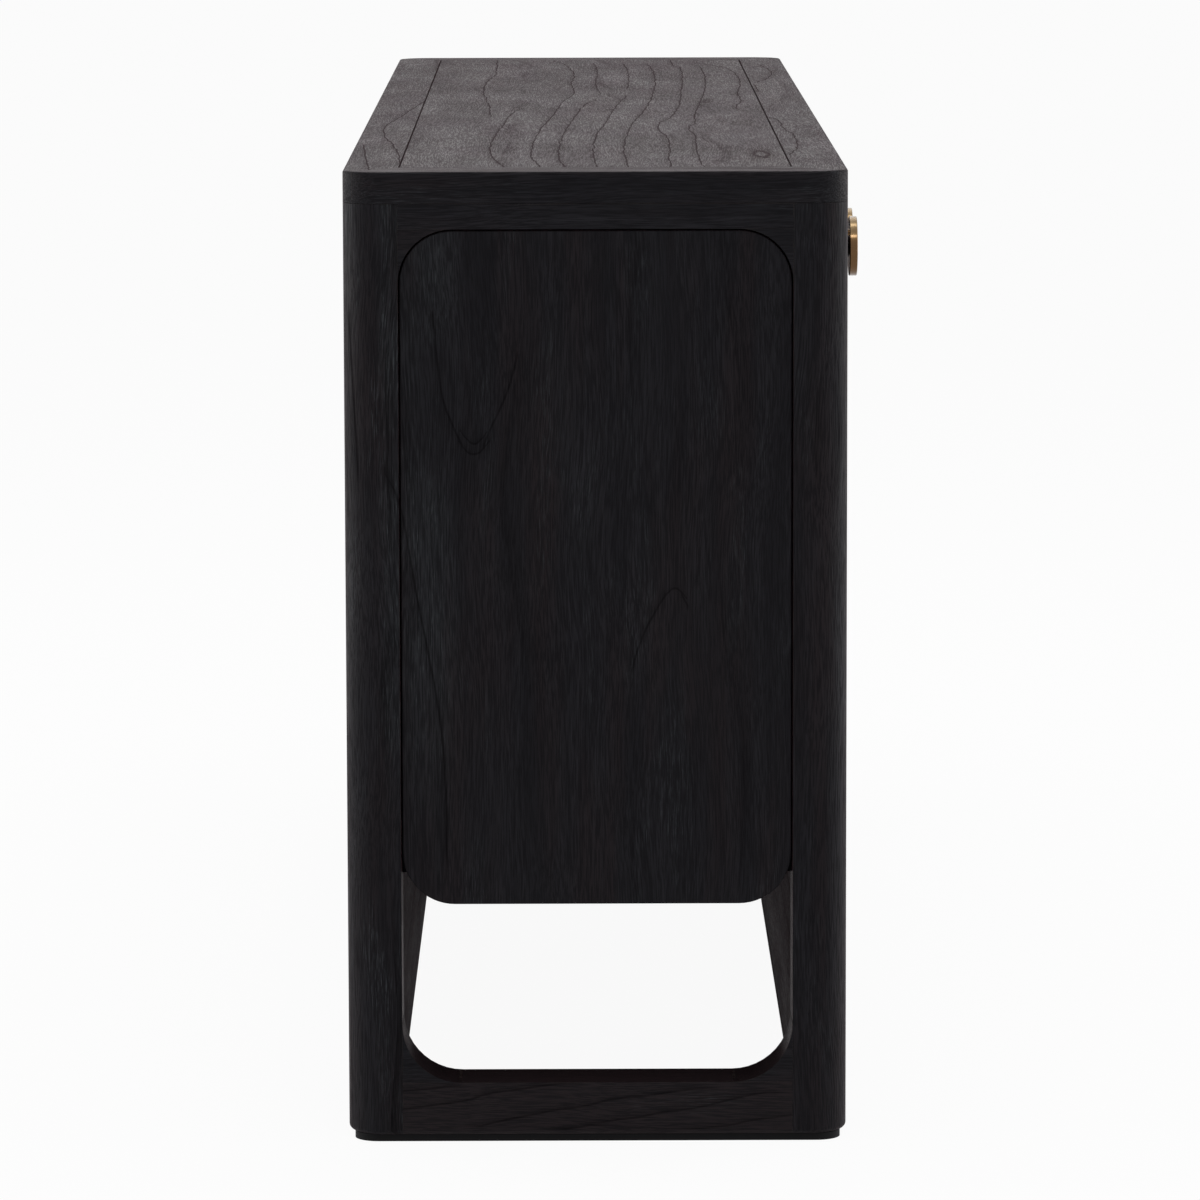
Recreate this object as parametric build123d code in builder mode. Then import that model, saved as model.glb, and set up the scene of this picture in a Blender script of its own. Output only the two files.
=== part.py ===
from build123d import *
import os

# Kang cabinet: a long, low, four-door cabinet. Each face is a frame of posts and rails
# whose inner corners are rounded, with doors and panels that fill the upper part of the
# frame and hang free above an open space for the legs.
#
# Millimetres, +Z up. X runs along the length and the doors face -Y. The origin is on the
# floor, in the middle of the whole outline with the knobs counted in.

os.makedirs("parts", exist_ok=True)

# ---- Overall size ----
length = 1830.0
case_depth = 411.0
height = 800.0
knob_reach = 24.0            # from the frame's front to the face of a knob

# ---- Frame ----
post_length = 55.0           # along X
post_width = 45.0            # along Y
corner_round = 30.0          # outer upright corners, the top included
opening_round = 44.0         # upper inner corners of every frame opening
low_opening_round = 49.0     # lower inner corners, over the floor rails
top_rail_height = 20.5
floor_rail_height = 44.0
stile_width = 55.0
seat = 23.0                  # depth behind a face where boards and panels are seated
foot_height = 6.0
foot_inset = 5.0
foot_width = 45.0            # strip under each end
long_foot_width = 33.0       # strip under the front and the back
foot_corner_round = 20.0     # corners of the end strips
foot_joint_gap = 1.5         # between the end strips and the long strips
foot_round = 5.0             # bottom edges of the posts and the floor rails

# ---- Top ----
top_thick = 26.0
top_edge_round = 2.0
seam_chamfer = 0.4           # shadow line where the top meets the frame
top_panel_thick = 20.0
top_joint = 0.6              # open joint round the top panel
tongue_reach = 8.0
tongue_thick = 7.0
tongue_drop = 7.0            # top of the tongue below the top face
groove_end_gap = 1.5

# ---- Panels ----
panel_bottom = 199.0         # lower edge of the doors, side panels and back panel
panel_reveal = 1.5           # gap round a panel
panel_recess = 1.0           # panel face behind the frame's face
panel_ease = 1.0

# ---- Doors ----
door_thick = 20.0
door_recess = 1.5
door_gap = 2.0
door_ease = 1.0

# ---- Carcass ----
skirt_hang = 23.0            # how far doors and panels hang below the bottom board
bottom_thick = 20.0
plinth_thick = 17.0
divider_thick = 20.0
shelf_thick = 18.0
shelf_gap = 1.5              # at the ends of a shelf
shelf_setback = 18.0         # front edge of a shelf behind the plinth's face
shelf_back_gap = 3.0
shelf_height = 258.0         # shelf's underside above the bottom board
cleat_size = 15.0

# ---- Shelf pins ----
pin_radius = 2.5
pin_depth = 8.0
pin_head_radius = 3.5
pin_head_length = 9.0
pin_hole_extra = 1.0
pin_pitch = 32.0
pin_rows = 5
pin_inset = 60.0             # from the shelf's front and back edges

# ---- Hinges ----
hinge_length = 64.0
hinge_margin = 100.0         # hinge centre from the end of a door
knuckle_radius = 2.5
knuckle_room = 0.5
knuckle_gap = 0.25
hinge_pin_radius = 1.25
hinge_running_gap = 0.05
leaf_thick = 2.0
leaf_width = 15.0
leaf_gap = 0.2               # from the hinge axis to the face of a leaf
leaf_screw_spread = 21.0
leaf_screw_set = 9.0

# ---- Screws ----
screw_room = 0.05            # between a screw and the wall of its hole
small_screw_radius = 1.25
small_head_radius = 2.4
small_head_depth = 1.2
small_screw_length = 14.0
back_screw_radius = 1.75
back_head_radius = 3.8
back_head_depth = 2.2
back_screw_length = 34.0
back_screw_columns = 3       # along each half of the back panel
back_screw_from_middle = 70.0
back_screw_from_round = 40.0
end_screw_rows = 2           # between the top and the bottom screws
knob_screw_radius = 2.0
knob_screw_bite = 13.0
knob_bore_spare = 1.0        # of the knob's hole beyond the end of its screw
knob_head_radius = 4.0
knob_head_thick = 2.6
knob_hole_room = 0.25

# ---- Knobs ----
knob_radius = 26.0
knob_thick = 7.0
knob_edge = 0.9
stem_radius = 7.5
stem_fillet = 3.0
collar_radius = 11.0
collar_thick = 2.0
knob_from_meeting = 50.0     # knob centre from the line where two doors meet
knob_drop = 94.0             # knob centre below the top of the cabinet

# ---- Catches ----
strike_width = 30.0
strike_height = 10.0
strike_thick = 1.2
strike_margin = 2.0          # above the strike plate, on the door
catch_from_meeting = 32.0
catch_gap = 0.3
catch_width = 38.0
catch_depth = 14.0
catch_height = 13.0
catch_ease = 1.5
pole_slot = 2.0
pole_slot_depth = 1.5

# ---- Faces and levels that follow from the sizes above ----
front_y = -(case_depth + knob_reach) / 2 + knob_reach
back_y = front_y + case_depth
mid_y = (front_y + back_y) / 2
half_length = length / 2
post_inner_x = half_length - post_length
front_post_y = front_y + post_width
back_post_y = back_y - post_width
front_seat_y = front_y + seat
back_seat_y = back_y - seat

tongue_top = height - tongue_drop
tongue_bottom = tongue_top - tongue_thick
frame_top = height - top_thick
opening_top = frame_top - top_rail_height
opening_bottom = foot_height + floor_rail_height
panel_top = opening_top - panel_reveal
board_bottom = panel_bottom + skirt_hang
board_top = board_bottom + bottom_thick
shelf_bottom = board_top + shelf_height

stile_half = stile_width / 2
divider_half = divider_thick / 2

door_face_y = front_y + door_recess
door_back_y = door_face_y + door_thick
door_top = opening_top - door_gap
bay_width = post_inner_x - stile_half
door_width = (bay_width - 3 * door_gap) / 2
meeting_x = (post_inner_x + stile_half) / 2
knob_z = height - knob_drop
hinge_levels = (panel_bottom + hinge_margin, door_top - hinge_margin)

# Each door by name: the X of its hinge axis and the way it reaches from there.
outer_axis_x = post_inner_x - door_gap / 2
inner_axis_x = stile_half + door_gap / 2
doors = {
    "left_outer": (-outer_axis_x, 1),
    "left_inner": (-inner_axis_x, -1),
    "right_inner": (inner_axis_x, 1),
    "right_outer": (outer_axis_x, -1),
}


# How a cylinder or cone sits on a place: sunk below its plane, or standing on it.
sunk = (Align.CENTER, Align.CENTER, Align.MAX)
proud = (Align.CENTER, Align.CENTER, Align.MIN)


# ---------------------------------------------------------------- shared shapes
def save(piece, label):
    """Name a finished piece and write it."""
    piece.part.label = label
    export_step(piece.part, f"parts/{label}.step")


def block(x_span, y_span, z_span, mode=Mode.ADD):
    """A rectangular block between two X, two Y and two Z values."""
    spans = (sorted(x_span), sorted(y_span), sorted(z_span))
    centre = [(low + high) / 2 for low, high in spans]
    sides = [high - low for low, high in spans]
    with Locations(tuple(centre)):
        Box(*sides, mode=mode)


def board(label, x_span, y_span, z_span):
    """A plain board."""
    with BuildPart() as piece:
        block(x_span, y_span, z_span)
    save(piece, label)


def drill(places, radius, depth):
    """Round holes that start at each place and run against its direction."""
    with Locations(*places):
        Cylinder(radius, depth, align=sunk, mode=Mode.SUBTRACT)


def countersink(places, head_radius, shank_radius, head_depth, mode=Mode.ADD):
    """The conical head of a screw, or with Mode.SUBTRACT the hollow that it fills."""
    with Locations(*places):
        Cone(shank_radius, head_radius, head_depth, align=sunk, mode=mode)


def countersunk_screws(places, head_radius, shank_radius, head_depth, screw_length):
    """Countersunk screws whose heads are flush at the given places."""
    countersink(places, head_radius, shank_radius, head_depth)
    with Locations(*places):
        Cylinder(shank_radius, screw_length, align=sunk)


# ---------------------------------------------------------------- hinge places
def leaf_screw_places(axis_x, side):
    """Screw heads of the leaves on one side of a hinge axis: 1 for +X and -1 for -X."""
    return [
        Plane(
            origin=(axis_x + side * leaf_gap, door_face_y + leaf_screw_set, level + shift),
            z_dir=(-side, 0, 0),
        )
        for level in hinge_levels
        for shift in (-leaf_screw_spread, leaf_screw_spread)
    ]


def hinge_mortises(axis_x, side):
    """Cut the beds of the leaves and room for the knuckles into the wood on one side."""
    for level in hinge_levels:
        ends = (level - hinge_length / 2, level + hinge_length / 2)
        leaf_back_x = axis_x + side * (leaf_gap + leaf_thick)
        block((axis_x, leaf_back_x), (door_face_y, door_face_y + leaf_width), ends, Mode.SUBTRACT)
        with Locations((axis_x, door_face_y, level)):
            Cylinder(knuckle_radius + knuckle_room, hinge_length, mode=Mode.SUBTRACT)
    drill(leaf_screw_places(axis_x, side), small_screw_radius + screw_room, small_screw_length)


# ---------------------------------------------------------------- posts
def make_post(label, end, face):
    """A full-height post: end is -1 for left and 1 for right, face -1 for front, 1 for back."""
    face_y = front_y if face < 0 else back_y
    outer_x, inner_x = end * half_length, end * post_inner_x
    inner_y = face_y - face * post_width
    with BuildPart() as post:
        with BuildSketch(Plane.XY.offset(foot_height)) as section:
            with Locations(((outer_x + inner_x) / 2, (face_y + inner_y) / 2)):
                Rectangle(post_length, post_width)
            outer_corner = section.vertices().sort_by_distance((outer_x, face_y, 0))[0]
            fillet(outer_corner, corner_round)
        extrude(amount=frame_top - foot_height)
        # The two edges that meet at the inner corner stay sharp.
        low_edges = post.edges().group_by(Axis.Z)[0]
        outer_edges = low_edges.sort_by_distance((inner_x, inner_y, foot_height))[2:]
        fillet(outer_edges, foot_round)
        if face < 0:
            hinge_mortises(end * outer_axis_x, end)
    save(post, label)


# ---------------------------------------------------------------- rails and stile
def make_end_floor_rail(label, end):
    """The rail on the floor between the two posts of an end."""
    outer_x = end * half_length
    with BuildPart() as rail:
        block(
            (outer_x, end * post_inner_x),
            (front_post_y, back_post_y),
            (foot_height, opening_bottom),
        )
        low_edges = rail.edges().filter_by(Axis.Y).group_by(Axis.Z)[0]
        fillet(low_edges.sort_by_distance((outer_x, mid_y, foot_height))[0], foot_round)
    save(rail, label)


def make_long_floor_rail(label, face_y, seat_y):
    """The rail on the floor along the front or the back."""
    with BuildPart() as rail:
        block((-post_inner_x, post_inner_x), (face_y, seat_y), (foot_height, opening_bottom))
        low_edges = rail.edges().filter_by(Axis.X).group_by(Axis.Z)[0]
        fillet(low_edges.sort_by_distance((0, face_y, foot_height))[0], foot_round)
    save(rail, label)


def make_centre_stile():
    """The upright between the two pairs of doors, with beds for their hinges."""
    with BuildPart() as stile:
        block((-stile_half, stile_half), (front_y, front_seat_y), (opening_bottom, opening_top))
        hinge_mortises(-inner_axis_x, 1)
        hinge_mortises(inner_axis_x, -1)
    save(stile, "centre_stile")


def make_foot_strips():
    """Thin strips that the frame stands on, set in from its faces."""
    end_x = half_length - foot_inset
    with BuildPart() as strips:
        with BuildSketch():
            for end in (-1, 1):
                with Locations((end * (end_x - foot_width / 2), mid_y)):
                    RectangleRounded(foot_width, case_depth - 2 * foot_inset, foot_corner_round)
        extrude(amount=foot_height)
        long_x = end_x - foot_width - foot_joint_gap
        for face_y, way in ((front_y, 1), (back_y, -1)):
            near_y = face_y + way * foot_inset
            block((-long_x, long_x), (near_y, near_y + way * long_foot_width), (0, foot_height))
    save(strips, "foot_strips")


# ---------------------------------------------------------------- rounded inner corners
def corner_block(plane, corner, way, radius, block_depth):
    """A block that rounds one corner of an opening, drawn on the plane of the face.

    way is the direction into the opening along each axis of the plane.
    """
    (at_x, at_y), (way_x, way_y) = corner, way
    with BuildSketch(plane) as profile:
        with Locations((at_x + way_x * radius / 2, at_y + way_y * radius / 2)):
            Rectangle(radius, radius)
        with Locations((at_x + way_x * radius, at_y + way_y * radius)):
            Circle(radius, mode=Mode.SUBTRACT)
    extrude(profile.sketch, amount=block_depth)


def make_end_corner_blocks():
    """The rounded corners of both end frames: deep ones below, seat-deep ones above."""
    with BuildPart() as blocks:
        for end in (-1, 1):
            plane = Plane.YZ.offset(end * half_length)
            for corner_y, way in ((front_post_y, 1), (back_post_y, -1)):
                low, high = (corner_y, opening_bottom), (corner_y, opening_top)
                corner_block(plane, low, (way, 1), low_opening_round, -end * post_length)
                corner_block(plane, high, (way, -1), opening_round, -end * seat)
    save(blocks, "corner_blocks_ends")


def make_long_corner_blocks(label, face_y, into, bays):
    """The rounded corners along the front or the back: into is the way from face to seat."""
    with BuildPart() as blocks:
        plane = Plane.XZ.offset(-face_y)
        for low_x, high_x in bays:
            for corner_x, way in ((low_x, 1), (high_x, -1)):
                low, high = (corner_x, opening_bottom), (corner_x, opening_top)
                corner_block(plane, low, (way, 1), low_opening_round, -into * seat)
                corner_block(plane, high, (way, -1), opening_round, -into * seat)
    save(blocks, label)


# ---------------------------------------------------------------- top
def make_top_border(label, sector):
    """One mitred border of the top, grooved for the panel: sector is its plan outline."""
    with BuildPart() as border:
        with BuildSketch(Plane.XY.offset(frame_top)):
            with Locations((0, mid_y)):
                RectangleRounded(length, case_depth, corner_round)
        extrude(amount=top_thick)
        fillet(border.faces().sort_by(Axis.Z)[-1].edges(), top_edge_round)
        chamfer(border.faces().sort_by(Axis.Z)[0].edges(), seam_chamfer)
        with BuildSketch(Plane.XY.offset(frame_top)):
            with BuildLine():
                Polyline(*sector, close=True)
            make_face()
        extrude(amount=top_thick, mode=Mode.INTERSECT)
        groove_depth = tongue_reach + groove_end_gap
        groove_x = post_inner_x + groove_depth
        groove_y = (front_post_y - groove_depth, back_post_y + groove_depth)
        block((-groove_x, groove_x), groove_y, (tongue_bottom, tongue_top), Mode.SUBTRACT)
    save(border, label)


def make_top_borders():
    """The four borders, which meet on mitres."""
    outer = {
        "front_left": (-half_length, front_y),
        "front_right": (half_length, front_y),
        "back_right": (half_length, back_y),
        "back_left": (-half_length, back_y),
    }
    inner = {
        "front_left": (-post_inner_x, front_post_y),
        "front_right": (post_inner_x, front_post_y),
        "back_right": (post_inner_x, back_post_y),
        "back_left": (-post_inner_x, back_post_y),
    }
    sides = {
        "front": ("front_left", "front_right"),
        "right": ("front_right", "back_right"),
        "back": ("back_right", "back_left"),
        "left": ("back_left", "front_left"),
    }
    for side, (start, end) in sides.items():
        make_top_border(f"top_border_{side}", (outer[start], outer[end], inner[end], inner[start]))


def make_top_panel():
    """The panel that floats in the grooves of the borders, flush with their faces."""
    x_reach = post_inner_x - top_joint
    y_span = (front_post_y + top_joint, back_post_y - top_joint)
    tongue_x = post_inner_x + tongue_reach
    tongue_y = (front_post_y - tongue_reach, back_post_y + tongue_reach)
    with BuildPart() as panel:
        block((-x_reach, x_reach), y_span, (height - top_panel_thick, height))
        block((-tongue_x, tongue_x), tongue_y, (tongue_bottom, tongue_top))
    save(panel, "top_panel")


# ---------------------------------------------------------------- panels
def make_side_panel(label, end):
    """A panel that fills the upper part of an end frame; its lower corners hang free."""
    face_x = end * (half_length - panel_recess)
    with BuildPart() as panel:
        with BuildSketch(Plane.YZ.offset(face_x)):
            with Locations((mid_y, (panel_bottom + panel_top) / 2)):
                RectangleRounded(
                    back_post_y - front_post_y - 2 * panel_reveal,
                    panel_top - panel_bottom,
                    opening_round - panel_reveal,
                )
        extrude(amount=-end * (seat - panel_recess))
        fillet(panel.faces().sort_by(Axis.X)[0 if end < 0 else -1].edges(), panel_ease)
    save(panel, label)


def back_screw_places():
    """Screw heads on the back panel: into the top cleats, the end cleats and the bottom board."""
    face_y = back_y - panel_recess
    end_x = post_inner_x - cleat_size / 2
    top_z = opening_top - cleat_size / 2
    bottom_z = board_bottom + bottom_thick / 2
    outer_x = post_inner_x - opening_round - back_screw_from_round
    column_step = (outer_x - back_screw_from_middle) / (back_screw_columns - 1)
    level_step = (top_z - bottom_z) / (end_screw_rows + 1)
    heads = []
    for end in (-1, 1):
        for column in range(back_screw_columns):
            x = end * (back_screw_from_middle + column * column_step)
            heads += [(x, face_y, top_z), (x, face_y, bottom_z)]
        for level in range(end_screw_rows):
            heads.append((end * end_x, face_y, top_z - (level + 1) * level_step))
    return [Plane(origin=head, z_dir=(0, 1, 0)) for head in heads]


def make_back_panel():
    """One sheet that closes the back, screwed on from behind."""
    with BuildPart() as panel:
        with BuildSketch(Plane.XZ.offset(-back_y + panel_recess)):
            with Locations((0, (panel_bottom + panel_top) / 2)):
                RectangleRounded(
                    2 * (post_inner_x - panel_reveal),
                    panel_top - panel_bottom,
                    opening_round - panel_reveal,
                )
        extrude(amount=seat - panel_recess)
        fillet(panel.faces().sort_by(Axis.Y)[-1].edges(), panel_ease)
        places = back_screw_places()
        drill(places, back_screw_radius + screw_room, seat)
        countersink(places, back_head_radius, back_screw_radius, back_head_depth, Mode.SUBTRACT)
    save(panel, "back_panel")


def make_back_cleats():
    """Strips inside the posts and under the top rail that take the back panel's screws."""
    y_span = (back_seat_y - cleat_size, back_seat_y)
    with BuildPart() as cleats:
        for end in (-1, 1):
            block(
                (end * (post_inner_x - cleat_size), end * post_inner_x),
                y_span,
                (board_top, opening_top - cleat_size - panel_reveal),
            )
            top_z = (opening_top - cleat_size, opening_top)
            block((end * divider_half, end * post_inner_x), y_span, top_z)
        drill(back_screw_places(), back_screw_radius + screw_room, back_screw_length)
    save(cleats, "back_cleats")


def make_back_screws():
    """The screws of the back panel."""
    with BuildPart() as screws:
        countersunk_screws(
            back_screw_places(), back_head_radius, back_screw_radius, back_head_depth, back_screw_length
        )
    save(screws, "back_panel_screws")


# ---------------------------------------------------------------- carcass
def pin_columns():
    """Y of the front and the back column of shelf pins."""
    return (
        front_seat_y + shelf_setback + pin_inset,
        back_seat_y - shelf_back_gap - pin_inset,
    )


def pin_levels():
    """Heights of the pin holes; a shelf rests on the pins of the middle row."""
    first = shelf_bottom - pin_head_radius - pin_pitch * (pin_rows // 2)
    return [first + pin_pitch * row for row in range(pin_rows)]


def pin_holes(face_x, outward):
    """Holes for shelf pins in an upright face that looks along X."""
    return [
        Plane(origin=(face_x, y, z), z_dir=(outward, 0, 0))
        for y in pin_columns()
        for z in pin_levels()
    ]


def make_side_lining(label, end):
    """The board behind a side panel, flush with the posts inside the case."""
    face_x = end * post_inner_x
    with BuildPart() as lining:
        block(
            (face_x, end * (half_length - seat)),
            (front_post_y, back_post_y),
            (board_bottom, opening_top),
        )
        drill(pin_holes(face_x, -end), pin_radius, pin_depth + pin_hole_extra)
    save(lining, label)


def make_centre_divider():
    """The upright board between the two compartments, notched under the top rails."""
    with BuildPart() as divider:
        block((-divider_half, divider_half), (front_seat_y, back_seat_y), (board_top, opening_top))
        block((-divider_half, divider_half), (front_post_y, back_post_y), (opening_top, frame_top))
        for side in (-1, 1):
            drill(pin_holes(side * divider_half, side), pin_radius, pin_depth + pin_hole_extra)
    save(divider, "centre_divider")


def make_bottom_board():
    """The floor of both compartments, which lies on the plinths."""
    with BuildPart() as bottom:
        block((-post_inner_x, post_inner_x), (front_seat_y, back_seat_y), (board_bottom, board_top))
        drill(back_screw_places(), back_screw_radius + screw_room, back_screw_length)
    save(bottom, "bottom_board")


def make_shelf(label, end):
    """An adjustable shelf that rests on four pins."""
    board(
        label,
        (end * (divider_half + shelf_gap), end * (post_inner_x - shelf_gap)),
        (front_seat_y + shelf_setback, back_seat_y - cleat_size - shelf_back_gap),
        (shelf_bottom, shelf_bottom + shelf_thick),
    )


def make_shelf_pins():
    """Eight turned pins, pushed into the middle row of holes."""
    level = shelf_bottom - pin_head_radius
    faces = [
        (-post_inner_x, 1),
        (-divider_half, -1),
        (divider_half, 1),
        (post_inner_x, -1),
    ]
    with BuildPart() as pins:
        for face_x, outward in faces:
            places = [Plane(origin=(face_x, y, level), z_dir=(outward, 0, 0)) for y in pin_columns()]
            with Locations(*places):
                Cylinder(pin_radius, pin_depth, align=sunk)
                Cylinder(pin_head_radius, pin_head_length, align=proud)
    save(pins, "shelf_pins")


# ---------------------------------------------------------------- doors
def meeting_edge_x(axis_x, reach):
    """X of the edge where a door meets its neighbour."""
    return axis_x + reach * (door_width + door_gap)


def knob_centre_x(axis_x, reach):
    """X of the knob's centre on a door."""
    return meeting_edge_x(axis_x, reach) - reach * knob_from_meeting


def make_door(name, axis_x, reach):
    """A flush door whose two corners on the hinge side follow the frame's opening."""
    hinge_edge_x = axis_x + reach * door_gap / 2
    centre = (hinge_edge_x + reach * door_width / 2, (panel_bottom + door_top) / 2)
    with BuildPart() as door:
        with BuildSketch(Plane.XZ.offset(-door_face_y)) as outline:
            with Locations(centre):
                Rectangle(door_width, door_top - panel_bottom)
            hinge_corners = outline.vertices().group_by(Axis.X)[0 if reach > 0 else -1]
            fillet(hinge_corners, opening_round - door_gap)
        extrude(amount=-door_thick)
        fillet(door.faces().sort_by(Axis.Y)[0].edges(), door_ease)
        hinge_mortises(axis_x, reach)
        knob_place = (knob_centre_x(axis_x, reach), door_face_y, knob_z)
        knob_hole = Plane(origin=knob_place, z_dir=(0, -1, 0))
        drill([knob_hole], knob_screw_radius + knob_hole_room, door_thick)
    save(door, f"door_{name}")


def make_knob(name, axis_x, reach):
    """A turned brass knob: a flat disc on a stem with a small collar at the door."""
    stem_length = knob_reach + door_recess - knob_thick
    base = Plane(origin=(knob_centre_x(axis_x, reach), door_face_y, knob_z), z_dir=(0, -1, 0))
    with BuildPart() as knob:
        with BuildSketch(base):
            Circle(collar_radius)
        extrude(amount=collar_thick)
        with BuildSketch(base):
            Circle(stem_radius)
        extrude(amount=stem_length)
        with BuildSketch(base.offset(stem_length)):
            Circle(knob_radius)
        extrude(amount=knob_thick)
        circles = knob.edges().filter_by(GeomType.CIRCLE).group_by(SortBy.RADIUS)
        fillet(circles[-1], knob_edge)
        circles = knob.edges().filter_by(GeomType.CIRCLE)
        disc_side = circles.sort_by_distance(base.offset(stem_length).origin)[0]
        fillet(disc_side, stem_fillet)
        with BuildSketch(base):
            Circle(knob_screw_radius + screw_room)
        extrude(amount=knob_screw_bite + knob_bore_spare, mode=Mode.SUBTRACT)
    save(knob, f"knob_{name}")


def make_door_screws(name, axis_x, reach):
    """The screws of a door's hinge leaves, and the one that holds its knob from inside."""
    with BuildPart() as screws:
        countersunk_screws(
            leaf_screw_places(axis_x, reach),
            small_head_radius,
            small_screw_radius,
            small_head_depth,
            small_screw_length,
        )
        inside = (knob_centre_x(axis_x, reach), door_back_y, knob_z)
        with Locations(Plane(origin=inside, z_dir=(0, 1, 0))):
            Cylinder(knob_head_radius, knob_head_thick, align=proud)
            Cylinder(knob_screw_radius, door_thick + knob_screw_bite, align=sunk)
    save(screws, f"door_screws_{name}")


def make_strike_plate(name, axis_x, reach):
    """The steel plate on the back of a door that its magnetic catch holds."""
    centre_x = meeting_edge_x(axis_x, reach) - reach * catch_from_meeting
    high_z = door_top - strike_margin
    board(
        f"strike_plate_{name}",
        (centre_x - strike_width / 2, centre_x + strike_width / 2),
        (door_back_y, door_back_y + strike_thick),
        (high_z - strike_height, high_z),
    )


def make_magnet_catches():
    """A magnetic catch under the front top rail for each door."""
    near_y = door_back_y + strike_thick + catch_gap
    z_span = (opening_top - catch_height, opening_top)
    centres = [
        meeting_edge_x(axis_x, reach) - reach * catch_from_meeting
        for axis_x, reach in doors.values()
    ]
    with BuildPart() as catches:
        for x in centres:
            block((x - catch_width / 2, x + catch_width / 2), (near_y, near_y + catch_depth), z_span)
        low_edges = catches.edges().filter_by(Axis.Y).group_by(Axis.Z)[0]
        fillet(low_edges, catch_ease)
        for x in centres:
            slot_x = (x - pole_slot / 2, x + pole_slot / 2)
            block(slot_x, (near_y, near_y + pole_slot_depth), z_span, Mode.SUBTRACT)
    save(catches, "magnet_catches")


# ---------------------------------------------------------------- hinges
def knuckle_spans(level):
    """The lowest, middle and highest knuckle of a hinge as pairs of heights."""
    third = hinge_length / 3
    low = level - hinge_length / 2
    return [
        (low, low + third - knuckle_gap / 2),
        (low + third + knuckle_gap / 2, low + 2 * third - knuckle_gap / 2),
        (low + 2 * third + knuckle_gap / 2, low + hinge_length),
    ]


def hinge_leaf(axis_x, side, level, spans, bore_radius):
    """One leaf with its knuckles, on the side of the axis that side names."""
    leaf_x = (axis_x + side * leaf_gap, axis_x + side * (leaf_gap + leaf_thick))
    plate_y = (door_face_y + knuckle_radius + knuckle_room, door_face_y + leaf_width)
    block(leaf_x, plate_y, (level - hinge_length / 2, level + hinge_length / 2))
    for low, high in spans:
        block(leaf_x, (door_face_y, plate_y[0]), (low, high))
        with Locations((axis_x, door_face_y, (low + high) / 2)):
            Cylinder(knuckle_radius, high - low)
            Cylinder(bore_radius, high - low, mode=Mode.SUBTRACT)


def sink_leaf_screws(axis_x, side):
    """Countersunk holes through the leaves on one side of an axis."""
    places = leaf_screw_places(axis_x, side)
    drill(places, small_screw_radius, leaf_thick)
    countersink(places, small_head_radius, small_screw_radius, small_head_depth, Mode.SUBTRACT)


def make_door_leaves(name, axis_x, reach):
    """The two leaves that are screwed to a door; they turn on the pins."""
    with BuildPart() as leaves:
        for level in hinge_levels:
            middle = knuckle_spans(level)[1:2]
            hinge_leaf(axis_x, reach, level, middle, hinge_pin_radius + hinge_running_gap)
        sink_leaf_screws(axis_x, reach)
    save(leaves, f"hinge_leaves_{name}")


def make_frame_leaves():
    """The leaves that are screwed to the posts and the stile; they hold the pins."""
    with BuildPart() as leaves:
        for axis_x, reach in doors.values():
            for level in hinge_levels:
                low, _, high = knuckle_spans(level)
                hinge_leaf(axis_x, -reach, level, (low, high), hinge_pin_radius)
            sink_leaf_screws(axis_x, -reach)
    save(leaves, "hinge_frame_leaves")


def make_hinge_pins():
    """The pins of all the hinges."""
    with BuildPart() as pins:
        for axis_x, _ in doors.values():
            for level in hinge_levels:
                with Locations((axis_x, door_face_y, level)):
                    Cylinder(hinge_pin_radius, hinge_length)
    save(pins, "hinge_pins")


def make_frame_screws():
    """The screws of the leaves on the posts and the stile."""
    with BuildPart() as screws:
        for axis_x, reach in doors.values():
            countersunk_screws(
                leaf_screw_places(axis_x, -reach),
                small_head_radius,
                small_screw_radius,
                small_head_depth,
                small_screw_length,
            )
    save(screws, "hinge_frame_screws")


# ---------------------------------------------------------------- the cabinet
for end, end_name in ((-1, "left"), (1, "right")):
    make_post(f"post_front_{end_name}", end, -1)
    make_post(f"post_back_{end_name}", end, 1)
    make_end_floor_rail(f"floor_rail_{end_name}", end)
    board(
        f"top_rail_{end_name}",
        (end * post_inner_x, end * half_length),
        (front_post_y, back_post_y),
        (opening_top, frame_top),
    )
    make_side_panel(f"side_panel_{end_name}", end)
    make_side_lining(f"side_lining_{end_name}", end)
    make_shelf(f"shelf_{end_name}", end)

make_long_floor_rail("floor_rail_front", front_y, front_seat_y)
make_long_floor_rail("floor_rail_back", back_y, back_seat_y)
rail_x = (-post_inner_x, post_inner_x)
board("top_rail_front", rail_x, (front_y, front_post_y), (opening_top, frame_top))
board("top_rail_back", rail_x, (back_post_y, back_y), (opening_top, frame_top))
plinth_z = (foot_height, board_bottom)
board("plinth_front", rail_x, (front_seat_y, front_seat_y + plinth_thick), plinth_z)
board("plinth_back", rail_x, (back_seat_y - plinth_thick, back_seat_y), plinth_z)
make_centre_stile()
make_foot_strips()

make_end_corner_blocks()
front_bays = ((-post_inner_x, -stile_half), (stile_half, post_inner_x))
make_long_corner_blocks("corner_blocks_front", front_y, 1, front_bays)
make_long_corner_blocks("corner_blocks_back", back_y, -1, ((-post_inner_x, post_inner_x),))

make_top_borders()
make_top_panel()

make_bottom_board()
make_centre_divider()
make_shelf_pins()
make_back_cleats()
make_back_panel()
make_back_screws()

for name, (axis_x, reach) in doors.items():
    make_door(name, axis_x, reach)
    make_knob(name, axis_x, reach)
    make_door_leaves(name, axis_x, reach)
    make_door_screws(name, axis_x, reach)
    make_strike_plate(name, axis_x, reach)

make_frame_leaves()
make_hinge_pins()
make_frame_screws()
make_magnet_catches()
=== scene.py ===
import math

import bmesh
import bpy
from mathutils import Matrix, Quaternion, Vector


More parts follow.
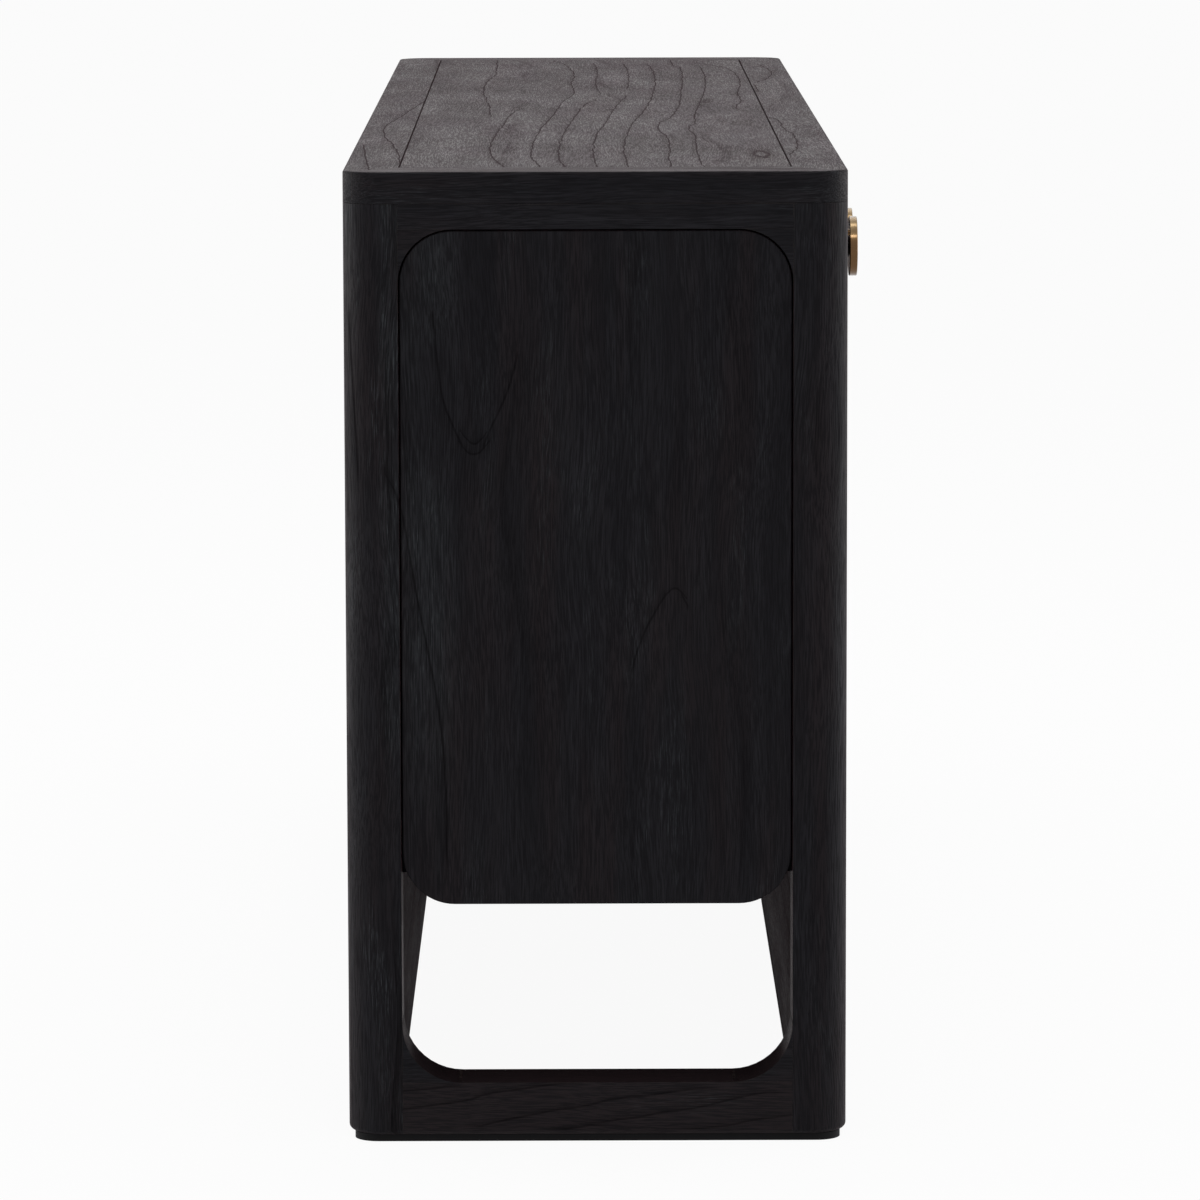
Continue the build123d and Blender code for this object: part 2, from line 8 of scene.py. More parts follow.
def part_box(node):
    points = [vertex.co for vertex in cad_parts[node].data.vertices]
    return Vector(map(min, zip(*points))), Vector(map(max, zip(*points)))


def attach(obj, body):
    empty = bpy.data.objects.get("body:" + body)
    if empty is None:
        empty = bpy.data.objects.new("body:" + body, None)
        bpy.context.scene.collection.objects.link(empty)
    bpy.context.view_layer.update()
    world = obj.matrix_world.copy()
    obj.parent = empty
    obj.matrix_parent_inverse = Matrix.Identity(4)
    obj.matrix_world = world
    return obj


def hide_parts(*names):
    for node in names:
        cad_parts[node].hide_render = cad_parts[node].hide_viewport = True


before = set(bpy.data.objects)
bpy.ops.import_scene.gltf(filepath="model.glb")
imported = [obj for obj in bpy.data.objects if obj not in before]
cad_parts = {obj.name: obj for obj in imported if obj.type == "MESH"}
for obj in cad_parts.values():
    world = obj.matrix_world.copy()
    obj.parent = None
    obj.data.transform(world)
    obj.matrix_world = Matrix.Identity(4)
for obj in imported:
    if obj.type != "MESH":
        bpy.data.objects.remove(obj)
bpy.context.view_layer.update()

# A low four-door cabinet of black-stained ash with turned brass knobs. Metres, +Z up.
# X runs along the length, the doors face -Y and the floor is at Z = 0.

# ---------------------------------------------------------------- posts, rails and stile
# The frame is solid ash: full-height posts with large rounded outer corners, and rails
# between them at the top and on the floor. It is stained black and sprayed with a thin
# satin lacquer that leaves the pores open.


def hex_linear(code):
    """A colour written as sRGB hex, as the linear values that a shader wants."""
    channels = [int(code[i:i + 2], 16) / 255 for i in (1, 3, 5)]
    return [c / 12.92 if c <= 0.04045 else ((c + 0.055) / 1.055) ** 2.4 for c in channels] + [1.0]


def add(tree, kind, inputs=(), **settings):
    """Add a node with its settings and links.

    inputs are in order, or by name or number. Each is a value, a socket, or a node that
    stands for the first of its outputs that is in use.
    """
    made = tree.nodes.new("ShaderNode" + kind)
    for name, value in settings.items():
        setattr(made, name, value)
    for key, value in inputs.items() if isinstance(inputs, dict) else enumerate(inputs):
        if isinstance(value, bpy.types.Node):
            value = next(socket for socket in value.outputs if socket.enabled)
        if isinstance(value, bpy.types.NodeSocket):
            tree.links.new(value, made.inputs[key])
        else:
            made.inputs[key].default_value = value
    return made


SMOOTH = {"interpolation_type": "SMOOTHSTEP"}     # for a MapRange that eases in and out


def new_material(name):
    """A material without nodes, as (material, tree)."""
    material = bpy.data.materials.new(name)
    material.use_nodes = True
    material.node_tree.nodes.clear()
    return material, material.node_tree


def dress(node, material):
    """Give one CAD node its material."""
    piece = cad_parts[node]
    piece.data.materials.clear()
    piece.data.materials.append(material)


# Turns that lay the grain of a board, which the texture has along its Z, along each axis.
GRAIN_TURN = {"X": (0, math.pi / 2, 0), "Y": (math.pi / 2, 0, 0), "Z": (0, 0, 0)}

ASH_DARK = "#0c0b0e"              # pores and latewood, where the stain sits deepest
ASH_BLACK = "#161519"             # the stain over most of the wood
ASH_PALE = "#212024"              # hard streaks that take less stain
ASH_BROWN = "#20191b"             # the wood's own brown, where the stain is thin
ASH_FLECK_AND_PAINTED_GLINT = "#383b3e"             # short silvery flecks of ray tissue, and the painted glint of a stripe
ASH_LINE_AND_PAINTED_SHADE = "#050405"              # growth lines, and the painted shade on faces that look up from under the case
ASH_RUB = "#3b3633"               # arrises that hands have rubbed
ASH_PAINTED_LIGHT = "#40323a"             # painted light: a paler, warmer colour on the faces that look up, in two hues
ASH_PAINTED_LIGHT_GREY = "#363430"

# The features of the wood, as (width across the grain, length along it) in millimetres.
PORES = (1.0, 26.0)               # real ones are 0.3 mm wide, too fine to show, so these are coarser
STREAKS = (2.2, 120.0)            # narrow streaks of paler and darker stain
BANDS = (15.0, 300.0)             # broad streaks
FLECKS = (0.75, 15.0)
FLECK_PATCHES = (26.0, 130.0)
STRIPE_PATCHES = (60.0, 90.0)     # where a stripe full of flecks comes and goes
GRAIN_BENDS = (110.0, 300.0)
LINE_BREAKS = (45.0, 210.0)       # where growth lines fade in and out
THIN_STAIN = (30.0, 260.0)
PAINTED_LIGHT_PATCHES = (55.0, 130.0)
SCUFFS = (9.0, 40.0)
LACQUER_CLOUDS = (46.0, 170.0)

BEND = 34.0                       # how far the grain bends, in millimetres
RING_SPACING = 38.0               # between the growth lines of a flat-sawn board
RING_STRETCH = 2.4                # times as far apart through the board's thickness
ARCH_SPACING = 26.0               # between the growth lines round the heart
ARCH_LEAN = 0.14                  # of the board from the tree's axis, which makes the arches
RING_RISE = (0.72, 0.99)          # shares of the spacing over which a line slowly darkens
RING_DROP = (0.985, 1.0)          # and breaks off
RING_SHARPNESS = 3.0
STRIPE_EDGE = 0.3                 # share of a stripe's half width that has the most flecks
STRIPE_STRENGTH = 1.6
STRIPE_PAINTED_GLINT = 0.15               # how bright the stripe's painted glint is between its flecks
STRIPE_FOOT = (230.0, 420.0)      # heights between which it dies out toward the floor
UPPER_FACE = (0.15, 0.75)         # how far up a face looks where its painted shade and matt finish begin and are full
LIT_FACE = (0.8, 0.98)            # and where the painted light on it begins and is full
ARRIS = 1.2                       # rounding of a sanded edge, in millimetres
ARRIS_TURN = (0.98, 0.8)          # cosine of an edge's turn where the rubbing begins and is full
GRAIN_DEPTH = 0.22                # of open pores and growth lines, in millimetres
PORE_SINK = 0.8                   # share of that depth that a pore has

# How much of its own colour each feature gives the stain.
STREAK_SHARE = 0.45
BROWN_SHARE = 0.6
PORE_SHARE = 0.75
RUB_SHARE = 0.65

# How far each feature changes the roughness of the lacquer.
CLOUD_ROUGH = 0.05
PORE_ROUGH = 0.16
LINE_ROUGH = 0.45
STREAK_ROUGH = 0.06

# The open pores hold a trace of wax and dust, which shows warm along a flat line of sight.
SHEEN_WEIGHT = 0.036
SHEEN_TINT = "#ffb4c4"


def ebonised_ash(name, grain, shift=(0, 0, 0), lines=(), knots=(), heart=None, ring_strength=0.5,
                 fleck_stripe_and_painted_glint=None, flecks=0.5, worn=0.0, faded=0.0, matt_top=False, lacquer=0.08,
                 rough=0.50):
    """Black-stained ash, satin: dark growth lines, long open pores and a soft sheen.

    shift moves the pattern in millimetres, so that no two boards match. Each of lines is a
    growth line through given points and each of knots a small knot: see growth_line and knot_ring.
    heart is the place of the tree's heart across the grain, round which the growth lines lie;
    on a flat-sawn board they come out as arches. ring_strength is how dark those lines are and
    flecks how much the flecks show. fleck_stripe_and_painted_glint is a stripe full of flecks
    with a painted glint between them, as its axis, middle and half width. worn is how thin the
    stain is, and faded how strongly light from above is painted onto the upper faces
    as a paler, warmer colour.
    matt_top is for a piece whose upper faces lie in the shadow under the case: they
    are darkened with painted shade and, out of reach of the polishing pad, stay matt. lacquer
    is the specular level, and rough the roughness.
    """
    material, tree = new_material(name)
    place = add(tree, "TexCoord").outputs["Object"]
    mm = add(tree, "VectorMath", (place, (1000, 1000, 1000)), operation="MULTIPLY")
    turned = add(tree, "Mapping", {"Vector": mm, "Rotation": GRAIN_TURN[grain], "Location": shift},
                 vector_type="POINT")

    def grown(feature, source, detail=2.0, roughness=0.5):
        """Noise drawn out to the width and length of a feature of the wood."""
        width, length = feature
        squeezed = add(tree, "VectorMath", (source, (1 / width, 1 / width, 1 / length)),
                       operation="MULTIPLY")
        return add(tree, "TexNoise", {"Vector": squeezed, "Scale": 1.0, "Detail": detail,
                                      "Roughness": roughness})

    # The grain wanders slowly along the board.
    bend = add(tree, "VectorMath", (grown(GRAIN_BENDS, turned, 1.5).outputs["Color"], (0.5, 0.5, 0.5)),
               operation="SUBTRACT")
    bend = add(tree, "VectorMath", (bend, (BEND, BEND, 0)), operation="MULTIPLY")
    bent = add(tree, "VectorMath", (turned, bend), operation="ADD")

    # Open pores, fine streaks, broad streaks and patches of silvery flecks.
    pore = add(tree, "MapRange", (grown(PORES, bent, 2.0, 0.6), 0.40, 0.60, 1.0, 0.0), **SMOOTH)
    streak = add(tree, "MapRange", (grown(STREAKS, bent, 3.0, 0.6), 0.34, 0.66), **SMOOTH)
    band = add(tree, "MapRange", (grown(BANDS, bent, 3.0, 0.55), 0.32, 0.68), **SMOOTH)
    fleck_and_painted_glint = add(tree, "MapRange", (grown(FLECKS, turned, 3.0, 0.65), 0.50, 0.66), **SMOOTH)
    patch = add(tree, "MapRange", (grown(FLECK_PATCHES, turned), 0.50, 0.68), **SMOOTH)
    # A stripe of flecks with a painted glint, standing in for a streak of reflected light; it dies out
    # toward the floor.
    if fleck_stripe_and_painted_glint:
        axis, middle, half_width = fleck_stripe_and_painted_glint
        spot = add(tree, "SeparateXYZ", (mm,))
        aside = add(tree, "Math", (spot.outputs["XYZ".index(axis)], middle), operation="SUBTRACT")
        aside = add(tree, "Math", (aside,), operation="ABSOLUTE")
        stripe = add(tree, "MapRange", (aside, half_width * STRIPE_EDGE, half_width, STRIPE_STRENGTH, 0.0),
                     **SMOOTH)
        uneven = add(tree, "MapRange", (grown(STRIPE_PATCHES, turned), 0.3, 0.6), **SMOOTH)
        above = add(tree, "MapRange", (spot.outputs["Z"], *STRIPE_FOOT), **SMOOTH)
        uneven = add(tree, "Math", (uneven, above), operation="MULTIPLY")
        stripe = add(tree, "Math", (stripe, uneven), operation="MULTIPLY")
        patch = add(tree, "Math", (patch, stripe), operation="MAXIMUM")
    fleck_and_painted_glint = add(tree, "Math", (fleck_and_painted_glint, patch), operation="MULTIPLY")
    fleck_and_painted_glint = add(tree, "Math", (fleck_and_painted_glint, flecks), operation="MULTIPLY")
    # Painted glint: the stripe is silvery between its flecks too.
    if fleck_stripe_and_painted_glint:
        painted_glint = add(tree, "Math", (stripe, STRIPE_PAINTED_GLINT), operation="MULTIPLY")
        fleck_and_painted_glint = add(tree, "Math", (fleck_and_painted_glint, painted_glint), operation="MAXIMUM")

    # Growth lines: each is thin and dark with a soft shade on its earlywood side, and they
    # fade in and out along the board.
    across = add(tree, "SeparateXYZ", (bent,))
    if heart:
        heart_place = (shift[0] + heart[0], shift[1] + heart[1], 0)
        from_heart = add(tree, "VectorMath", (bent, heart_place), operation="SUBTRACT")
        from_heart = add(tree, "VectorMath", (from_heart, (1, 1, 0)), operation="MULTIPLY")
        radius = add(tree, "VectorMath", (from_heart,), operation="LENGTH")
        lean = add(tree, "Math", (across.outputs["Z"], ARCH_LEAN), operation="MULTIPLY")
        radius = add(tree, "Math", (radius, lean), operation="ADD")
        rings = add(tree, "Math", (radius, ARCH_SPACING), operation="DIVIDE")
    else:
        rings = add(tree, "Math", (across.outputs["X"], RING_SPACING), operation="DIVIDE")
        deeper = add(tree, "Math", (across.outputs["Y"], RING_STRETCH * RING_SPACING),
                     operation="DIVIDE")
        rings = add(tree, "Math", (rings, deeper), operation="ADD")
    year = add(tree, "Math", (rings,), operation="FRACT")
    rise = add(tree, "MapRange", (year, *RING_RISE), **SMOOTH)
    rise = add(tree, "Math", (rise, RING_SHARPNESS), operation="POWER")
    drop = add(tree, "MapRange", (year, *RING_DROP, 1.0, 0.0), **SMOOTH)
    fade = add(tree, "MapRange", (grown(LINE_BREAKS, turned, 1.0), 0.38, 0.62), **SMOOTH)
    ring = rise
    for share in (drop, fade, ring_strength):
        ring = add(tree, "Math", (ring, share), operation="MULTIPLY")
    drawn = [growth_line(tree, mm, **line) for line in lines]
    drawn += [knot_ring(tree, mm, **knot) for knot in knots]
    for mark in drawn:
        ring = add(tree, "Math", (ring, mark), operation="MAXIMUM")

    # How brown, how dark and how rubbed the stain is from place to place.
    streaky = add(tree, "Math", (streak, STREAK_SHARE), operation="MULTIPLY")
    thin = add(tree, "MapRange", (grown(THIN_STAIN, turned, 3.0), 0.42, 0.72), **SMOOTH)
    thin = add(tree, "Math", (thin, BROWN_SHARE), operation="MULTIPLY")
    thin = add(tree, "Math", (thin, worn), operation="MAXIMUM")
    porous = add(tree, "Math", (pore, PORE_SHARE), operation="MULTIPLY")
    flat_normal = add(tree, "NewGeometry").outputs["Normal"]
    soft_normal = add(tree, "Bevel", {"Radius": ARRIS / 1000}, samples=4)
    agree = add(tree, "VectorMath", (soft_normal, flat_normal), operation="DOT_PRODUCT")
    arris = add(tree, "MapRange", (agree, *ARRIS_TURN), **SMOOTH)
    scuff = add(tree, "MapRange", (grown(SCUFFS, turned, 4.0), 0.42, 0.66, 0.0, RUB_SHARE), **SMOOTH)
    rubbed = add(tree, "Math", (arris, scuff), operation="MULTIPLY")

    # Colour: each layer lies over the ones before it, by its own share.
    layers = [(band, hex_linear(ASH_PALE)), (streaky, hex_linear(ASH_DARK)),
              (thin, hex_linear(ASH_BROWN)), (fleck_and_painted_glint, hex_linear(ASH_FLECK_AND_PAINTED_GLINT))]
    if faded or matt_top:
        upright = add(tree, "SeparateXYZ", (flat_normal,)).outputs["Z"]
    # Painted light: faces that look up are painted paler and warmer, for the light from above that they
    # catch.
    if faded:
        lit = add(tree, "MapRange", (upright, *LIT_FACE, 0.0, faded), **SMOOTH)
        mottle = add(tree, "MapRange", (grown(PAINTED_LIGHT_PATCHES, turned, 4.0), 0.36, 0.62), **SMOOTH)
        painted_light_colour = add(tree, "Mix", {0: mottle, 6: hex_linear(ASH_PAINTED_LIGHT), 7: hex_linear(ASH_PAINTED_LIGHT_GREY)},
                    data_type="RGBA")
        layers.append((lit, painted_light_colour))
    layers += [(porous, hex_linear(ASH_DARK)), (ring, hex_linear(ASH_LINE_AND_PAINTED_SHADE))]
    # Painted shade: upward faces low under the case are darkened almost to black, and made matt.
    if matt_top:
        matt = add(tree, "MapRange", (upright, *UPPER_FACE), **SMOOTH)
        layers.append((matt, hex_linear(ASH_LINE_AND_PAINTED_SHADE)))
    layers.append((rubbed, hex_linear(ASH_RUB)))
    stain = hex_linear(ASH_BLACK)
    for share, colour in layers:
        stain = add(tree, "Mix", {0: share, 6: stain, 7: colour}, data_type="RGBA")

    # Satin lacquer: it varies softly along the grain, and pores and growth lines break it.
    cloud = add(tree, "MapRange", (grown(LACQUER_CLOUDS, turned, 4.0), 0.3, 0.7,
                                   rough - CLOUD_ROUGH, rough + CLOUD_ROUGH), **SMOOTH)
    dull_pore = add(tree, "Math", (pore, PORE_ROUGH), operation="MULTIPLY")
    dull_line = add(tree, "Math", (ring, LINE_ROUGH), operation="MULTIPLY")
    dull = add(tree, "Math", (dull_pore, dull_line), operation="ADD")
    uneven = add(tree, "Math", (streak, 0.5), operation="SUBTRACT")
    uneven = add(tree, "Math", (uneven, STREAK_ROUGH), operation="MULTIPLY")
    roughness = add(tree, "Math", (cloud, dull), operation="ADD")
    roughness = add(tree, "Math", (roughness, uneven), operation="ADD")
    if matt_top:
        roughness = add(tree, "Math", (roughness, matt), operation="MAXIMUM")

    # Relief: the pores stay open, and the growth lines sink a little, their soft shades less.
    open_pore = add(tree, "Math", (pore, PORE_SINK), operation="MULTIPLY")
    sunk = add(tree, "Math", (ring, ring), operation="MULTIPLY")
    sunk = add(tree, "Math", (open_pore, sunk), operation="MAXIMUM")
    height = add(tree, "Math", (1.0, sunk), operation="SUBTRACT")
    relief = add(tree, "Bump", {"Height": height, "Distance": GRAIN_DEPTH / 1000, "Strength": 0.7,
                                "Normal": soft_normal})
    wood = add(tree, "BsdfPrincipled", {"Base Color": stain, "Roughness": roughness,
                                        "Specular IOR Level": lacquer, "Normal": relief,
                                        "Sheen Weight": SHEEN_WEIGHT, "Sheen Roughness": 0.3,
                                        "Sheen Tint": hex_linear(SHEEN_TINT)})
    add(tree, "OutputMaterial", {"Surface": wood})
    return material


TREMBLE_PER_MM = 0.03             # bends of a drawn growth line
SHADE_WIDTH = 7.0                 # of the soft shade on one side of it, in millimetres
CORE_SHARE = 0.3                  # share of its half width that is fully dark


def growth_line(tree, mm, axes, points, width=0.9, strength=0.85, wander=2.6, shade=0.12, fade=25.0):
    """A growth line through points, in millimetres, as a mask that is 1 on the line.

    axes names the axis that the points run along and the axis that they swing across. wander
    is how far the line trembles, shade how dark the latewood on one side of it is, and fade
    how far it dies out beyond its ends.
    """
    parts = add(tree, "SeparateXYZ", (mm,))
    run, swing = (parts.outputs[axis] for axis in axes)
    tremble = add(tree, "TexNoise", {"Vector": mm, "Scale": TREMBLE_PER_MM, "Detail": 4.0})
    tremble = add(tree, "MapRange", {"Value": tremble, "To Min": -wander, "To Max": wander})
    runs, swings = zip(*sorted(points))
    low, high = min(swings) - 1, max(swings) + 1
    curve = add(tree, "FloatCurve", {"Value": add(tree, "MapRange", (run, runs[0], runs[-1]))})
    bends = curve.mapping.curves[0].points
    for number, (at, swung) in enumerate(zip(runs, swings)):
        spot = ((at - runs[0]) / (runs[-1] - runs[0]), (swung - low) / (high - low))
        if 0 < number < len(runs) - 1:
            bends.new(*spot)
        else:
            bends[0 if number == 0 else -1].location = spot
    curve.mapping.update()
    middle = add(tree, "MapRange", {"Value": curve, "To Min": low, "To Max": high})
    middle = add(tree, "Math", (middle, tremble), operation="ADD")
    off = add(tree, "Math", (swing, middle), operation="SUBTRACT")
    distance = add(tree, "Math", (off,), operation="ABSOLUTE")
    core = add(tree, "MapRange", (distance, width * CORE_SHARE, width, strength, 0.0), **SMOOTH)
    soft = add(tree, "MapRange", (off, 0.0, SHADE_WIDTH, strength * shade, 0.0),
               interpolation_type="SMOOTHERSTEP")
    on_side = add(tree, "Math", (off, 0.0), operation="GREATER_THAN")
    soft = add(tree, "Math", (soft, on_side), operation="MULTIPLY")
    mark = add(tree, "Math", (core, soft), operation="MAXIMUM")
    for end, beyond in ((runs[0], -fade), (runs[-1], fade)):
        inside = add(tree, "MapRange", (run, end + beyond, end), **SMOOTH)
        mark = add(tree, "Math", (mark, inside), operation="MULTIPLY")
    return mark


# Distances from the middle of a knot, in its own half widths.
KNOT_RADIUS = 0.72                # of its dark ring
KNOT_RING_EDGE = (0.08, 0.34)     # from that ring, where it begins to fade and is gone
KNOT_HALO = (0.9, 2.1)            # where the shade outside begins to fade and is gone
KNOT_HALO_START = 0.8
KNOT_HALO_SHARE = 0.35            # of the ring's darkness


def knot_ring(tree, mm, centre, size, strength=0.6):
    """A small knot as a mask: a dark ring round a paler middle, with a soft shade outside.

    centre and size, its half widths, are in millimetres.
    """
    off = add(tree, "VectorMath", (mm, centre), operation="SUBTRACT")
    even = add(tree, "VectorMath", (off, tuple(1 / half for half in size)), operation="MULTIPLY")
    bumpy = add(tree, "TexNoise", {"Vector": even, "Scale": 1.4, "Detail": 2.0})
    bumpy = add(tree, "MapRange", {"Value": bumpy, "To Min": -0.4, "To Max": 0.4})
    reach = add(tree, "VectorMath", (even,), operation="LENGTH")
    reach = add(tree, "Math", (reach, bumpy), operation="ADD")
    from_ring = add(tree, "Math", (reach, KNOT_RADIUS), operation="SUBTRACT")
    from_ring = add(tree, "Math", (from_ring,), operation="ABSOLUTE")
    ring = add(tree, "MapRange", (from_ring, *KNOT_RING_EDGE, strength, 0.0), **SMOOTH)
    halo = add(tree, "MapRange", (reach, *KNOT_HALO, strength * KNOT_HALO_SHARE, 0.0), **SMOOTH)
    outside = add(tree, "Math", (reach, KNOT_HALO_START), operation="GREATER_THAN")
    halo = add(tree, "Math", (halo, outside), operation="MULTIPLY")
    return add(tree, "Math", (ring, halo), operation="MAXIMUM")


def dress_boards(boards, grain, step, start=(0, 0, 0), wood="ebonised_ash", own=None, **look):
    """Dress like boards, each with its pattern one step further on. own holds extras by board."""
    for number, board in enumerate(boards):
        shift = tuple(first + number * more for first, more in zip(start, step))
        extras = (own or {}).get(board, {})
        dress(board, ebonised_ash(f"{wood}_{board}", grain, shift, **look, **extras))


def side_lines(axes, drawn, **look):
    """Growth lines on an upright face, which tremble less than those of the top."""
    soft = {"axes": axes, "wander": 0.8, "width": 1.4, "strength": 0.55, "shade": 0.3, **look}
    return [{**soft, "points": points} for points in drawn]


# Growth lines of the near end, as points in millimetres: (height, place across) on the posts
# and the panel, and (place across, height) on the floor rail.
SIDE_SLANT = ((554, 183), (525, 171), (500, 166), (451, 158), (410, 150), (365, 142), (319, 137),
              (241, 135))
POST_LINES = (SIDE_SLANT, ((672, 212), (558, 206)))
RAIL_LINES = (
    ((191, 28), (164, 29), (142, 32), (122, 35), (101, 41), (80, 44), (59, 47), (42, 49)),
    ((185, 43), (164, 44), (136, 47)),
    ((108, 14), (87, 19), (66, 23), (45, 27), (24, 30), (-1, 36), (-28, 39), (-49, 42), (-70, 45)),
    ((10, 16), (-1, 18), (-22, 21), (-42, 25), (-64, 28), (-84, 32), (-109, 38), (-126, 41)),
    ((-70, 11), (-98, 14), (-112, 17), (-140, 21), (-154, 23)),
    ((38, 11), (17, 14)),
)
# The near post has a stripe of flecks with a painted glint.
NEAR_POST = {"lines": side_lines("ZY", POST_LINES), "fleck_stripe_and_painted_glint": ("Y", 177, 15), "flecks": 0.95}
NEAR_RAIL = {"lines": side_lines("YZ", RAIL_LINES, shade=0.4), "worn": 0.85, "lacquer": 0.10}

dress_boards(("post_front_left", "post_back_left", "post_front_right", "post_back_right"), "Z",
             (131, 57, 300), own={"post_back_left": NEAR_POST})
# Their upper faces get painted shade for the shadow under the case.
dress_boards(("floor_rail_left", "floor_rail_right"), "Y", (91, 43, 210), matt_top=True,
             own={"floor_rail_left": NEAR_RAIL})
dress_boards(("top_rail_left", "top_rail_right"), "Y", (91, 43, 210), start=(182, 86, 420))
dress_boards(("floor_rail_front", "floor_rail_back", "top_rail_front", "top_rail_back"), "X",
             (77, 61, 190))
dress("centre_stile", ebonised_ash("ebonised_ash_centre_stile", "Z", (40, 12, 80)))

# ---------------------------------------------------------------- corner blocks
# Quarter-hollow blocks of ash, glued into the inner corners of the frame and sanded flush,
# so that each opening is a rounded rectangle. Their grain runs with the rails.

# The end blocks' upper faces get painted shade too.
dress("corner_blocks_ends", ebonised_ash("ebonised_ash_corner_blocks_ends", "Y", (17, 29, 5),
                                         matt_top=True))
dress("corner_blocks_front", ebonised_ash("ebonised_ash_corner_blocks_front", "X", (23, 31, 9)))
dress("corner_blocks_back", ebonised_ash("ebonised_ash_corner_blocks_back", "X", (37, 11, 14)))

# ---------------------------------------------------------------- foot strips
# Thin strips of hardwood under the frame, painted matt black and set in from its faces so
# that the cabinet seems to stand on a shadow. The brush leaves a faint unevenness.

PAINT_DARK = "#0c0c0d"
PAINT_PALE = "#151416"
BRUSH_MARKS_PER_MM = 0.22         # soft marks about 4.5 mm apart

foot_paint, tree = new_material("matt_black_paint")
brush = add(tree, "TexNoise", {"Vector": add(tree, "TexCoord").outputs["Object"],
                               "Scale": 1000 * BRUSH_MARKS_PER_MM, "Detail": 4.0})
paint_colour = add(tree, "Mix", {0: brush, 6: hex_linear(PAINT_DARK), 7: hex_linear(PAINT_PALE)},
                   data_type="RGBA")
paint_rough = add(tree, "MapRange", {"Value": brush, "To Min": 0.6, "To Max": 0.8})
paint_relief = add(tree, "Bump", {"Height": brush, "Distance": 0.0002, "Strength": 0.4})
paint = add(tree, "BsdfPrincipled", {"Base Color": paint_colour, "Roughness": paint_rough,
                                     "Specular IOR Level": 0.12, "Normal": paint_relief})
add(tree, "OutputMaterial", {"Surface": paint})
dress("foot_strips", foot_paint)

# ---------------------------------------------------------------- plinths and case boards
# Veneered boards inside the frame: a plinth along the front and the back of the leg space,
# the bottom, the linings behind the side panels and the divider. Stained like the frame,
# with little lacquer, so that they are duller and show fewer flecks.

MATT = {"lacquer": 0.03, "rough": 0.72, "flecks": 0.2}
dress_boards(("plinth_front", "plinth_back", "bottom_board"), "X", (55, 83, 0), start=(8, 0, 140),
             wood="ebonised_veneer", **MATT)
dress_boards(("side_lining_left", "side_lining_right", "centre_divider"), "Z", (65, 73, 0),
             start=(8, 0, 90), wood="ebonised_veneer", **MATT)
dress("back_cleats", ebonised_ash("ebonised_ash_back_cleats", "X", (3, 71, 18)))

# ---------------------------------------------------------------- side panels
# One flat-sawn board fills the upper part of each end, nearly flush with the posts. Its
# lower corners are rounded and hang free above the leg space.

PANEL_LINES = (
    ((684, 144), (650, 141), (619, 137), (595, 129), (578, 121)),
    ((651, 76), (627, 82), (605, 91), (590, 98), (578, 103)),
    ((393, -17), (414, -23), (441, -36), (454, -44)),
    ((446, -62), (454, -58)),
)
# The turns at the ends of those lines, as (place across, height).
PANEL_BENDS = (
    ((99, 581), (104, 575), (109, 571), (114, 571), (119, 575), (123, 581)),
    ((101, 588), (106, 582), (111, 579), (117, 583), (122, 590)),
    ((-61, 452), (-57, 457), (-52, 460), (-47, 457), (-43, 452)),
)
near_lines = side_lines("ZY", PANEL_LINES, fade=6.0)
near_lines += side_lines("YZ", PANEL_BENDS, fade=2.0)
near_lines += side_lines("ZY", (SIDE_SLANT,))
# The near panel has a stripe of flecks with a painted glint.
dress("side_panel_left", ebonised_ash("ebonised_ash_side_panel_left", "Z", (0, 12, 33),
                                      lines=near_lines, ring_strength=0.3,
                                      fleck_stripe_and_painted_glint=("Y", 152, 34), flecks=0.55))
dress("side_panel_right", ebonised_ash("ebonised_ash_side_panel_right", "Z", (9, 52, 33),
                                       heart=(840, 30), ring_strength=0.75))

# ---------------------------------------------------------------- back panel
# One veneered sheet that closes the back, held by countersunk steel screws from behind.
# Their zinc plating is a cool grey with a fine mottle.

dress("back_panel", ebonised_ash("ebonised_veneer_back_panel", "X", (19, 7, 260),
                                 heart=(455, 120), ring_strength=0.55, rough=0.6))

ZINC_DARK = "#8d8e90"
ZINC_PALE = "#b4b5b6"
SPANGLES_PER_MM = 0.9

screw_steel, tree = new_material("zinc_plated_steel")
zinc = add(tree, "TexNoise", {"Vector": add(tree, "TexCoord").outputs["Object"],
                              "Scale": 1000 * SPANGLES_PER_MM, "Detail": 3.0})
zinc_colour = add(tree, "Mix", {0: zinc, 6: hex_linear(ZINC_DARK), 7: hex_linear(ZINC_PALE)},
                  data_type="RGBA")
zinc_rough = add(tree, "MapRange", {"Value": zinc, "To Min": 0.28, "To Max": 0.45})
steel = add(tree, "BsdfPrincipled", {"Base Color": zinc_colour, "Roughness": zinc_rough,
                                     "Metallic": 1.0})
add(tree, "OutputMaterial", {"Surface": steel})


